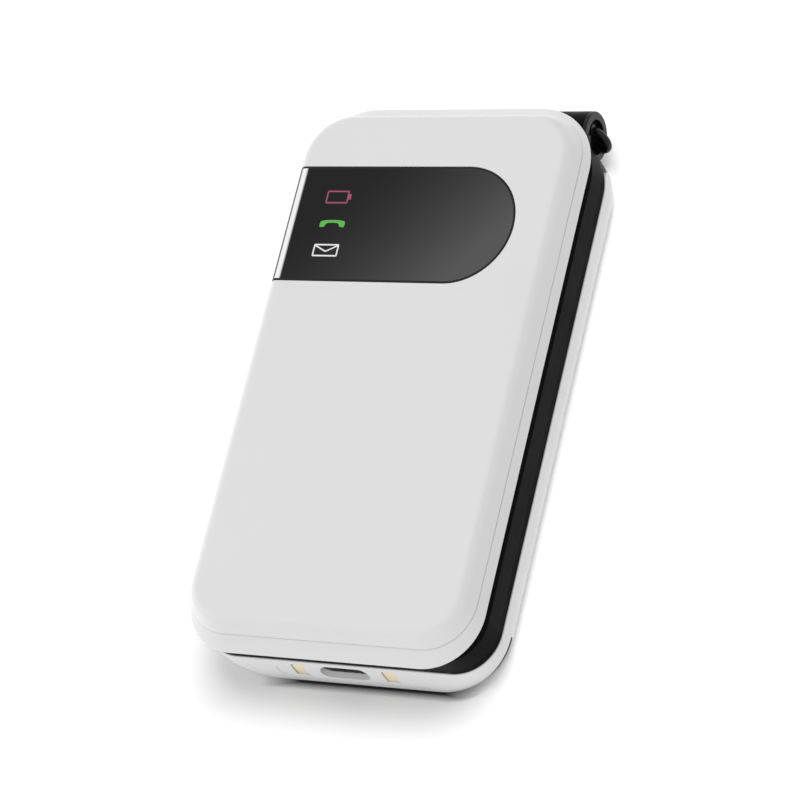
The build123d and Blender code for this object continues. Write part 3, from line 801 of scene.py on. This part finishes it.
class PHONE_OT_stage(bpy.types.Operator):
    """Floor, lamps, world and camera"""
    bl_idname = "phone.stage"
    bl_label = "Stage"

    def execute(self, context):
        scene = context.scene
        scene.view_settings.view_transform = "Standard"
        floor = self.floor(scene)
        world = bpy.data.worlds.new("white_room")
        world.use_nodes = True
        scene.world = world
        tree = world.node_tree
        tree.nodes.clear()
        level = seen_or(tree, SKY, 1.0, ["Is Camera Ray", "Is Glossy Ray", "Is Transmission Ray"])
        sky = add_node(tree, "ShaderNodeBackground", {"Color": (1, 1, 1, 1)}, {"Strength": level})
        add_node(tree, "ShaderNodeOutputWorld", links={"Surface": sky.outputs[0]})
        for name, (place, size, power, on_floor) in LAMPS.items():
            lamp = bpy.data.lights.new(name, "AREA")
            lamp.size, lamp.energy = size, power
            holder = bpy.data.objects.new(name, lamp)
            scene.collection.objects.link(holder)
            lit = bpy.data.collections.new(name)
            lit.objects.link(floor)
            lit.collection_objects[0].light_linking.link_state = "INCLUDE" if on_floor else "EXCLUDE"
            holder.light_linking.receiver_collection = lit
            holder.location = place
            holder.rotation_euler = look_along(-np.array(place)).to_euler()
            holder.visible_glossy = False
        camera = bpy.data.cameras.new("camera")
        camera.lens, camera.sensor_width = LENS, SENSOR
        camera.clip_start, camera.clip_end = 0.01, 20
        view = bpy.data.objects.new("camera", camera)
        scene.collection.objects.link(view)
        turn = Matrix(AXES).transposed()
        view.matrix_world = Matrix.Translation(STAND) @ turn.to_4x4()
        scene.camera = view
        return {"FINISHED"}

    def floor(self, scene):
        """White paper sweep: a little brighter to the camera and in gloss than it is, so that
        it reads as white and still keeps the shadow, with a painted contact shadow: a dark line
        along the foot of the free end that fades away sideways."""
        side = 1.5
        mesh = bpy.data.meshes.new("floor")
        mesh.from_pydata([(-side, -side, 0), (side, -side, 0), (side, side, 0), (-side, side, 0)],
                         [], [(0, 1, 2, 3)])
        floor = bpy.data.objects.new("floor", mesh)
        scene.collection.objects.link(floor)
        material = bpy.data.materials.new("white_paper")
        material.use_nodes = True
        tree = material.node_tree
        tree.nodes.clear()
        axes = object_axes(tree)
        # Painted contact shadow: the line runs at y -48.5 mm and bends with the foot's corner past
        # 17 mm to each side.  It is darkest up to 2.9 mm off its middle and gone at 4.3 mm.
        # Lengthwise it fades out between 13.5 and 21.5 mm from a point 2.5 mm right of the middle.
        past = calc(tree, "SUBTRACT", calc(tree, "ABSOLUTE", axes["X"]), 0.017, clamp=True)
        bent = calc(tree, "MULTIPLY_ADD", calc(tree, "POWER", past, 2.0), -55.0, axes["Y"])
        off = calc(tree, "ABSOLUTE", calc(tree, "ADD", bent, 0.0485))
        aside = calc(tree, "ABSOLUTE", calc(tree, "SUBTRACT", axes["X"], 0.0025))
        # clear is low on the painted contact shadow and 1 elsewhere
        clear = calc(tree, "MAXIMUM", ramp(tree, off, 0.0029, 0.0043, 0.03, 1.0),
                     ramp(tree, aside, 0.0135, 0.0215))
        level = seen_or(tree, 0.9, 1.12, ["Is Camera Ray", "Is Glossy Ray"])
        level = calc(tree, "MULTIPLY", level, clear)
        tone = add_node(tree, "ShaderNodeCombineColor", links={0: level, 1: level, 2: level})
        base = add_node(tree, "ShaderNodeBsdfDiffuse", links={"Color": tone.outputs[0]})
        add_node(tree, "ShaderNodeOutputMaterial", links={"Surface": base.outputs[0]})
        mesh.materials.append(material)
        return floor


class PHONE_PT_panel(bpy.types.Panel):
    """Lists the phone's pieces and settings"""
    bl_idname = "PHONE_PT_panel"
    bl_label = "Clamshell phone"
    bl_space_type = "VIEW_3D"
    bl_region_type = "UI"
    bl_category = "Phone"

    def draw(self, context):
        for group in (context.scene.phone_lid, context.scene.phone_colours):
            for key in group.__annotations__:
                self.layout.prop(group, key)
        for operator in OPERATORS:
            self.layout.operator(operator.bl_idname)


OPERATORS = (PHONE_OT_stage, PHONE_OT_finishes, PHONE_OT_lid_rim, PHONE_OT_lid_panel,
             PHONE_OT_lid_window, PHONE_OT_pictograms, PHONE_OT_legends)
CLASSES = (PhoneLid, PhoneColours, *OPERATORS, PHONE_PT_panel)


def register():
    for cls in CLASSES:
        bpy.utils.register_class(cls)
    bpy.types.Scene.phone_lid = bpy.props.PointerProperty(type=PhoneLid)
    bpy.types.Scene.phone_colours = bpy.props.PointerProperty(type=PhoneColours)


def unregister():
    del bpy.types.Scene.phone_colours
    del bpy.types.Scene.phone_lid
    for cls in reversed(CLASSES):
        bpy.utils.unregister_class(cls)


def main():
    """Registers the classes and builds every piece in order."""
    register()
    for operator in OPERATORS:
        group, name = operator.bl_idname.split(".")
        getattr(getattr(bpy.ops, group), name)()


if __name__ == "__main__":
    main()
